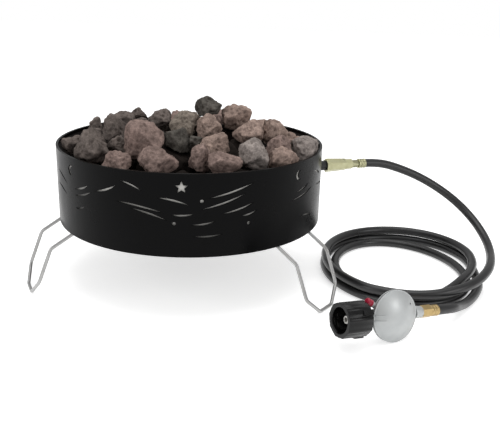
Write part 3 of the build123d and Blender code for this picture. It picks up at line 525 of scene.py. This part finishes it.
def hose_rubber(colours):
    """Extruded rubber hose cover: charcoal black with a soft sheen, dust and a faintly uneven skin."""
    made, tree, place = new_material("extruded_rubber")
    dust = add(tree, "ShaderNodeTexNoise", {"Vector": place, "Scale": per(28.0), "Detail": 4.0})
    skin = add(tree, "ShaderNodeTexNoise", {"Vector": place, "Scale": per(2.0), "Detail": 2.0})
    tint = add(
        tree, "ShaderNodeMix",
        {0: dust.outputs["Fac"], 6: colours.rubber, 7: linear("#1c1c1d")},
        data_type="RGBA",
    )
    rough = add(
        tree, "ShaderNodeMapRange",
        {"Value": dust.outputs["Fac"], **NOISE_RANGE, "To Min": 0.26, "To Max": 0.4},
    )
    bump = add(tree, "ShaderNodeBump", {"Height": skin.outputs["Fac"], "Strength": 0.1, "Distance": 0.3 * MM})
    shader = add(
        tree, "ShaderNodeBsdfPrincipled",
        {
            "Base Color": tint.outputs[2], "Roughness": rough.outputs[0], "Normal": bump.outputs[0],
            "IOR": 1.52,
        },
    )
    finish_material(tree, shader)
    return made


def lava_stone():
    """Scoria: dull brown to grey volcanic stone, mottled and gritty, with painted shade in its pores."""
    made, tree, place = new_material("lava_stone")
    tone = add(tree, "ShaderNodeAttribute", attribute_name="rock_tone")
    pit = add(tree, "ShaderNodeAttribute", attribute_name="rock_pore_shade")
    mottle = add(
        tree, "ShaderNodeTexNoise",
        {"Vector": place, "Scale": per(14.0), "Detail": 6.0, "Roughness": 0.65},
    )
    grit = add(
        tree, "ShaderNodeTexNoise",
        {"Vector": place, "Scale": per(2.4), "Detail": 4.0, "Roughness": 0.7},
    )
    patch = add(
        tree, "ShaderNodeMapRange",
        {"Value": mottle.outputs["Fac"], "From Min": 0.32, "From Max": 0.68, "To Min": 0.55, "To Max": 1.3},
    )
    mottled = add(
        tree, "ShaderNodeVectorMath", {0: tone.outputs["Color"], "Scale": patch.outputs[0]}, operation="SCALE"
    )
    speck = add(
        tree, "ShaderNodeMapRange",
        {"Value": grit.outputs["Fac"], "From Min": 0.35, "From Max": 0.65, "To Min": 0.72, "To Max": 1.2},
    )
    gritty = add(
        tree, "ShaderNodeVectorMath", {0: mottled.outputs[0], "Scale": speck.outputs[0]}, operation="SCALE"
    )
    # Painted shade in the pores: the colour is darkened towards #221a18 where a pore is open.
    pore_shade = add(
        tree, "ShaderNodeMix",
        {0: pit.outputs["Fac"], 6: gritty.outputs[0], 7: linear("#221a18")},
        data_type="RGBA",
    )
    bump = add(tree, "ShaderNodeBump", {"Height": grit.outputs["Fac"], "Strength": 0.7, "Distance": 1.0 * MM})
    shader = add(
        tree, "ShaderNodeBsdfPrincipled",
        {
            "Base Color": pore_shade.outputs[2], "Roughness": 0.92, "Normal": bump.outputs[0],
            "IOR": 1.45, "Specular IOR Level": 0.1,
        },
    )
    finish_material(tree, shader)
    return made


def dress(names, finish, edge=None):
    """Gives solids a finish, and breaks their sharp edges by a small bevel where a width is given."""
    for name in names:
        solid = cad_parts[name]
        solid.data.materials.clear()
        solid.data.materials.append(finish)
        if edge is None:
            continue
        weld = solid.modifiers.new("weld", "WELD")
        weld.merge_threshold = WELD_REACH
        bevel = solid.modifiers.new("edge", "BEVEL")
        bevel.width = edge * MM
        bevel.segments = EDGE_ROUNDS
        bevel.limit_method = "ANGLE"
        bevel.angle_limit = EDGE_ANGLE
        bevel.harden_normals = True


def ease(turn, start, span):
    """Rises smoothly from 0 to 1 over some turns."""
    share = min(max((turn - start) / span, 0), 1)
    return share * share * (3 - 2 * share)


def swell(angle, azimuth, power):
    """1 at an azimuth and 0 opposite to it; a higher power keeps it narrower."""
    return ((1 + math.cos(angle - azimuth)) / 2) ** power


def coil_point(hose, turn):
    """Middle of the hose after some turns of the coil."""
    angle = math.tau * turn
    inward = ease(turn, hose.inward, hose.inward_turns)
    outward = ease(turn, hose.outward, hose.outward_turns)
    bulge = hose.bulge * swell(angle, hose.bulge_azimuth, BULGE_POWER)
    first = bulge - hose.sag * swell(angle, hose.sag_azimuth, SAG_POWER)
    inside = -hose.step - hose.fan * swell(angle, hose.fan_azimuth, FAN_POWER)
    lower = first + (inside - first) * inward - hose.dip * ease(turn, hose.dip_start, hose.dip_turns)
    upper = bulge - hose.dent * swell(angle, hose.dent_azimuth, DENT_POWER)
    shift = lower + (upper - lower) * outward
    loop = Vector((
        (hose.half_width + shift) * math.cos(angle),
        (hose.half_depth + shift) * math.sin(angle),
        hose.diameter / 2 + hose.layer * ease(turn, hose.climb, hose.climb_turns),
    ))
    loop.rotate(Euler((0, 0, hose.azimuth)))
    return Vector((hose.centre_x, hose.centre_y, 0)) + loop


def hose_route(hose):
    """Control points of the whole hose, from the bowl's fitting to the regulator's."""
    span = hose.end - hose.start
    count = round(span * COIL_POINTS_PER_TURN)
    route = [BOWL_END, BOWL_END + BOWL_WAY * hose.lead]
    route += [Vector(p) for p in RUN_POINTS]
    route += [coil_point(hose, hose.end - span * k / count) for k in range(count + 1)]
    route += [Vector(p) for p in TAIL_POINTS]
    route += [VALVE_END + VALVE_WAY * hose.lead, VALVE_END]
    return [p + AXIS for p in route]


class FIREPIT_OT_stage(bpy.types.Operator):
    """Camera, lights, floor and the white surroundings"""

    bl_idname = "firepit.stage"
    bl_label = "Stage"

    def execute(self, context):
        self.camera(context)
        self.lamps(context)
        self.floor(context)
        self.surroundings(context)
        context.scene.view_settings.view_transform = "Standard"
        return {"FINISHED"}

    def camera(self, context):
        """Camera at the photograph's angle."""
        lens = bpy.data.cameras.new("camera")
        lens.lens = LENS
        lens.sensor_width = SENSOR_WIDTH
        camera = bpy.data.objects.new("camera", lens)
        turn = Euler((math.radians(CAMERA_TILT), 0, math.radians(CAMERA_TURN))).to_matrix()
        roll = Euler((0, 0, math.radians(CAMERA_ROLL))).to_matrix()
        camera.rotation_euler = (turn @ roll).to_euler()
        camera.location = CAMERA_PLACE
        context.scene.collection.objects.link(camera)
        context.scene.camera = camera

    def lamps(self, context):
        """Soft boxes above, left and right: place, aim and width in metres, and power in watts."""
        boxes = [
            ("top_box", (0.1, 0.1, 1.7), (0.15, 0.0, 0.1), 1.6, 14.0),
            ("left_box", (-1.5, -1.3, 1.0), (0.0, 0.0, 0.12), 1.1, 9.0),
            ("right_box", (1.7, -1.0, 0.9), (0.25, -0.05, 0.08), 1.0, 7.0),
        ]
        for name, place, aim, size, power in boxes:
            lamp = bpy.data.lights.new(name, "AREA")
            lamp.size = size
            lamp.energy = power
            holder = bpy.data.objects.new(name, lamp)
            holder.location = place
            holder.rotation_euler = (Vector(aim) - Vector(place)).to_track_quat("-Z", "Y").to_euler()
            context.scene.collection.objects.link(holder)

    def floor(self, context):
        """Pale floor that the camera and bright metal see as almost white, with the object's shadow."""
        made, tree, place = new_material("studio_floor")
        path = add(tree, "ShaderNodeLightPath")
        seen = add(
            tree, "ShaderNodeMath",
            {0: path.outputs["Is Camera Ray"], 1: path.outputs["Is Glossy Ray"]},
            operation="MAXIMUM",
        )
        through = add(
            tree, "ShaderNodeMath",
            {0: seen.outputs[0], 1: path.outputs["Is Transmission Ray"]},
            operation="MAXIMUM",
        )
        speck = add(tree, "ShaderNodeTexNoise", {"Vector": place, "Scale": per(60.0), "Detail": 2.0})
        tint = add(
            tree, "ShaderNodeMix",
            {0: speck.outputs["Fac"], 6: context.scene.fire_pit_colours.floor, 7: linear("#f0f0f0")},
            data_type="RGBA",
        )
        matt = add(tree, "ShaderNodeBsdfDiffuse", {"Color": tint.outputs[2]})
        lift = add(tree, "ShaderNodeMath", {0: through.outputs[0], 1: FLOOR_LIFT}, operation="MULTIPLY")
        glow = add(tree, "ShaderNodeEmission", {"Color": linear("#ffffff"), "Strength": lift.outputs[0]})
        both = add(tree, "ShaderNodeAddShader", {0: matt.outputs[0], 1: glow.outputs[0]})
        finish_material(tree, both)
        mesh = bpy.data.meshes.new("floor")
        corners = [(-1, -1), (1, -1), (1, 1), (-1, 1)]
        mesh.from_pydata([(x * FLOOR_HALF, y * FLOOR_HALF, 0) for x, y in corners], [], [(0, 1, 2, 3)])
        mesh.materials.append(made)
        floor = bpy.data.objects.new("floor", mesh)
        context.scene.collection.objects.link(floor)

    def surroundings(self, context):
        """Even white room: full white to the camera, a plain level as light."""
        world = bpy.data.worlds.new("white_room")
        world.use_nodes = True
        tree = world.node_tree
        tree.nodes.clear()
        path = add(tree, "ShaderNodeLightPath")
        level = add(
            tree, "ShaderNodeMapRange",
            {"Value": path.outputs["Is Camera Ray"], "To Min": ROOM_LIGHT, "To Max": 1.0},
        )
        sky = add(tree, "ShaderNodeBackground", {"Color": linear("#ffffff"), "Strength": level.outputs[0]})
        add(tree, "ShaderNodeOutputWorld", {"Surface": sky.outputs[0]})
        context.scene.world = world


class FIREPIT_OT_hose(bpy.types.Operator):
    """Gas hose on one smooth line from the bowl through the coil to the regulator"""

    bl_idname = "firepit.hose"
    bl_label = "Gas hose"

    def execute(self, context):
        hose = context.scene.fire_pit_hose
        route = hose_route(hose)
        curve = bpy.data.curves.new("gas_hose", "CURVE")
        curve.dimensions = "3D"
        curve.bevel_depth = hose.diameter / 2
        curve.bevel_resolution = ROUND_STEPS
        curve.resolution_u = LINE_STEPS
        spline = curve.splines.new("NURBS")
        spline.points.add(len(route) - 1)
        for point, place in zip(spline.points, route):
            point.co = (*place, 1)
        spline.order_u = 3
        spline.use_endpoint_u = True
        curve.materials.append(hose_rubber(context.scene.fire_pit_colours))
        piece = bpy.data.objects.new("gas_hose", curve)
        context.scene.collection.objects.link(piece)
        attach(piece, "bowl")
        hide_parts("hose_run", "hose_coil", "hose_tail")
        return {"FINISHED"}


class FIREPIT_OT_bowl(bpy.types.Operator):
    """Painted skirt and brackets, fire pan and burner"""

    bl_idname = "firepit.bowl"
    bl_label = "Bowl and burner"

    def execute(self, context):
        colours = context.scene.fire_pit_colours
        dress(PAINTED_NODES, heat_paint(colours))
        dress(["fire_pan"], pan_steel(colours))
        dress(BURNER_NODES, bare_metal("burner_steel", colours.steel, 2.0, 0.38))
        return {"FINISHED"}


class FIREPIT_OT_legs(bpy.types.Operator):
    """Plated wire of the folding legs"""

    bl_idname = "firepit.legs"
    bl_label = "Folding legs"

    def execute(self, context):
        colours = context.scene.fire_pit_colours
        dress(LEG_NODES, bare_metal("plated_wire", colours.wire, 2.0, 0.3))
        return {"FINISHED"}


class FIREPIT_OT_fittings(bpy.types.Operator):
    """Brass hose fittings and the black steel inlet"""

    bl_idname = "firepit.fittings"
    bl_label = "Hose fittings"

    def execute(self, context):
        colours = context.scene.fire_pit_colours
        dress(BOWL_BRASS_NODES, machined_brass("machined_brass", colours.brass, "#a5a27c"), edge=0.4)
        dress(VALVE_BRASS_NODES, machined_brass("yellow_brass", colours.yellow_brass, "#a98d5c"), edge=0.4)
        dress(BLACK_STEEL_NODES, even_skin("blackened_steel", colours.nut, "#2a2a2a", 0.4), edge=0.4)
        return {"FINISHED"}


class FIREPIT_OT_regulator(bpy.types.Operator):
    """Die-cast regulator, its vent cap, seals and the hand nut"""

    bl_idname = "firepit.regulator"
    bl_label = "Regulator and hand nut"

    def execute(self, context):
        colours = context.scene.fire_pit_colours
        dress(CASTING_NODES, die_casting(colours), edge=0.8)
        dress(["inlet_nipple"], bare_metal("nickel_plated_brass", colours.nickel, 1.5, 0.22), edge=0.4)
        dress(["vent_cap"], even_skin("red_cap_plastic", colours.cap, "#8a0c28", 0.3), edge=0.4)
        nut = even_skin("black_nut_plastic", colours.nut, "#0e0e0f", 0.2, gloss=0.3)
        dress(["hand_nut"], nut, edge=0.5)
        dress(SEAL_NODES, even_skin("seal_rubber", colours.nut, "#2c2c2c", 0.6))
        return {"FINISHED"}


class FIREPIT_OT_rocks(bpy.types.Operator):
    """Lava rocks: each one a rough porous lump inside the room of its solid"""

    bl_idname = "firepit.rocks"
    bl_label = "Lava rocks"

    def execute(self, context):
        shape = context.scene.fire_pit_rocks
        colours = context.scene.fire_pit_colours
        points, faces, hues, pore_shades = [], [], [], []
        for k, (middle, normals, reaches) in enumerate(self.rooms()):
            ball = bmesh.new()
            splits = FINE_SPLITS if middle.z > FINE_LEVEL else COARSE_SPLITS
            bmesh.ops.create_icosphere(ball, subdivisions=splits, radius=1.0)
            ways = np.array([v.co for v in ball.verts])
            ways /= np.linalg.norm(ways, axis=1)[:, None]
            base = len(points)
            rock, pore_shade = self.lump(shape, middle, normals, reaches, ways, k)
            points += rock
            pore_shades += pore_shade
            hues += [getattr(colours, self.tone(middle))] * len(rock)
            faces += [tuple(base + v.index for v in f.verts) for f in ball.faces]
            ball.free()
        mesh = bpy.data.meshes.new("lava_rock_heap")
        mesh.from_pydata(points, [], faces)
        mesh.shade_smooth()
        tone = mesh.attributes.new("rock_tone", "FLOAT_COLOR", "POINT")
        tone.data.foreach_set("color", np.array(hues, dtype=np.float32).ravel())
        pit = mesh.attributes.new("rock_pore_shade", "FLOAT", "POINT")
        pit.data.foreach_set("value", np.array(pore_shades, dtype=np.float32))
        mesh.materials.append(lava_stone())
        heap = bpy.data.objects.new("lava_rock_heap", mesh)
        context.scene.collection.objects.link(heap)
        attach(heap, "bowl")
        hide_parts("lava_rocks")
        return {"FINISHED"}

    def rooms(self):
        """Middle, face normals and face distances of each rock's solid."""
        solid = bmesh.new()
        solid.from_mesh(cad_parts["lava_rocks"].data)
        bmesh.ops.remove_doubles(solid, verts=solid.verts, dist=SAME_POINT)
        left = set(solid.verts)
        rooms = []
        while left:
            island = {left.pop()}
            front = list(island)
            while front:
                for link in front.pop().link_edges:
                    for vert in link.verts:
                        if vert in left:
                            left.remove(vert)
                            island.add(vert)
                            front.append(vert)
            middle = sum((v.co for v in island), Vector()) / len(island)
            sides = {f for v in island for f in v.link_faces}
            normals = []
            reaches = []
            for side in sides:
                normal = side.normal.copy()
                reach = normal.dot(side.verts[0].co - middle)
                if side.calc_area() > SMALL_FACE:
                    normals.append(normal if reach > 0 else -normal)
                    reaches.append(abs(reach))
            rooms.append((middle, np.array(normals), np.array(reaches)))
        solid.free()
        return sorted(rooms, key=lambda room: tuple(room[0]))

    def tone(self, middle):
        """Name of a rock's colour: that of the nearest place in the list, or painted shade deep in the heap.
        """
        if middle.z < DEEP_SHADE_LEVEL and middle.y < AXIS.y + OPEN_BEHIND:
            return "rock_deep_shade"
        place = (middle - AXIS) / MM
        return min(ROCK_TONES, key=lambda row: (Vector(row[1:]) - place).length)[0]

    def lump(self, shape, middle, normals, reaches, ways, k):
        """Points of one rock, rounded inside its room, rough and pitted, and how much painted shade each gets
        in a pore.
        """
        facing = np.clip(ways @ normals.T, 0, None) / np.maximum(reaches - shape.inset, LEAST_ROOM)
        spans = (facing ** shape.roundness).sum(axis=1) ** (-1 / shape.roundness)
        rock = []
        pore_shade = []
        offset = Vector([k * step for step in PATTERN_STEPS])
        for way, span in zip(ways, spans):
            place = middle + Vector(way) * span
            broad = noise.fractal(place / shape.lump_size + offset, *LUMP_NOISE)
            fine = noise.fractal(place / shape.grit_size + offset, *GRIT_NOISE)
            near = noise.voronoi(place / shape.pore_size + offset)[0][0]
            pore = max(0, 1 - (near / PORE_OPEN_SHARE) ** 2)
            dent = shape.lump * (abs(broad) - LUMP_PROUD_SHARE)
            dent += shape.grit * (fine + GRIT_SUNK_SHARE) * GRIT_DEPTH_SHARE
            dent += shape.pore * pore
            rock.append(middle + Vector(way) * max(span - max(dent, -shape.inset), LEAST_SPAN))
            # Painted shade: how much darker the colour is painted in the pore.
            pore_shade.append(pore * PORE_SHADE_SHARE)
        return rock, pore_shade


class FIREPIT_PT_panel(bpy.types.Panel):
    """Lists the fire pit's pieces in the sidebar"""

    bl_idname = "FIREPIT_PT_panel"
    bl_label = "Fire Pit"
    bl_space_type = "VIEW_3D"
    bl_region_type = "UI"
    bl_category = "Fire Pit"

    def draw(self, context):
        for operator in OPERATORS:
            self.layout.operator(operator.bl_idname)
        for group in GROUPS:
            box = self.layout.box()
            values = getattr(context.scene, group)
            for name in values.__annotations__:
                box.prop(values, name)


GROUPS = {
    "fire_pit_hose": FirePitHose,
    "fire_pit_rocks": FirePitRocks,
    "fire_pit_colours": FirePitColours,
}
OPERATORS = (
    FIREPIT_OT_stage,
    FIREPIT_OT_hose,
    FIREPIT_OT_bowl,
    FIREPIT_OT_legs,
    FIREPIT_OT_fittings,
    FIREPIT_OT_regulator,
    FIREPIT_OT_rocks,
)


def register():
    for name, group in GROUPS.items():
        bpy.utils.register_class(group)
        setattr(bpy.types.Scene, name, bpy.props.PointerProperty(type=group))
    for operator in OPERATORS:
        bpy.utils.register_class(operator)
    bpy.utils.register_class(FIREPIT_PT_panel)


def unregister():
    bpy.utils.unregister_class(FIREPIT_PT_panel)
    for operator in reversed(OPERATORS):
        bpy.utils.unregister_class(operator)
    for name, group in GROUPS.items():
        delattr(bpy.types.Scene, name)
        bpy.utils.unregister_class(group)


def main():
    register()
    bpy.ops.firepit.stage()
    bpy.ops.firepit.hose()
    bpy.ops.firepit.bowl()
    bpy.ops.firepit.legs()
    bpy.ops.firepit.fittings()
    bpy.ops.firepit.regulator()
    bpy.ops.firepit.rocks()


if __name__ == "__main__":
    main()
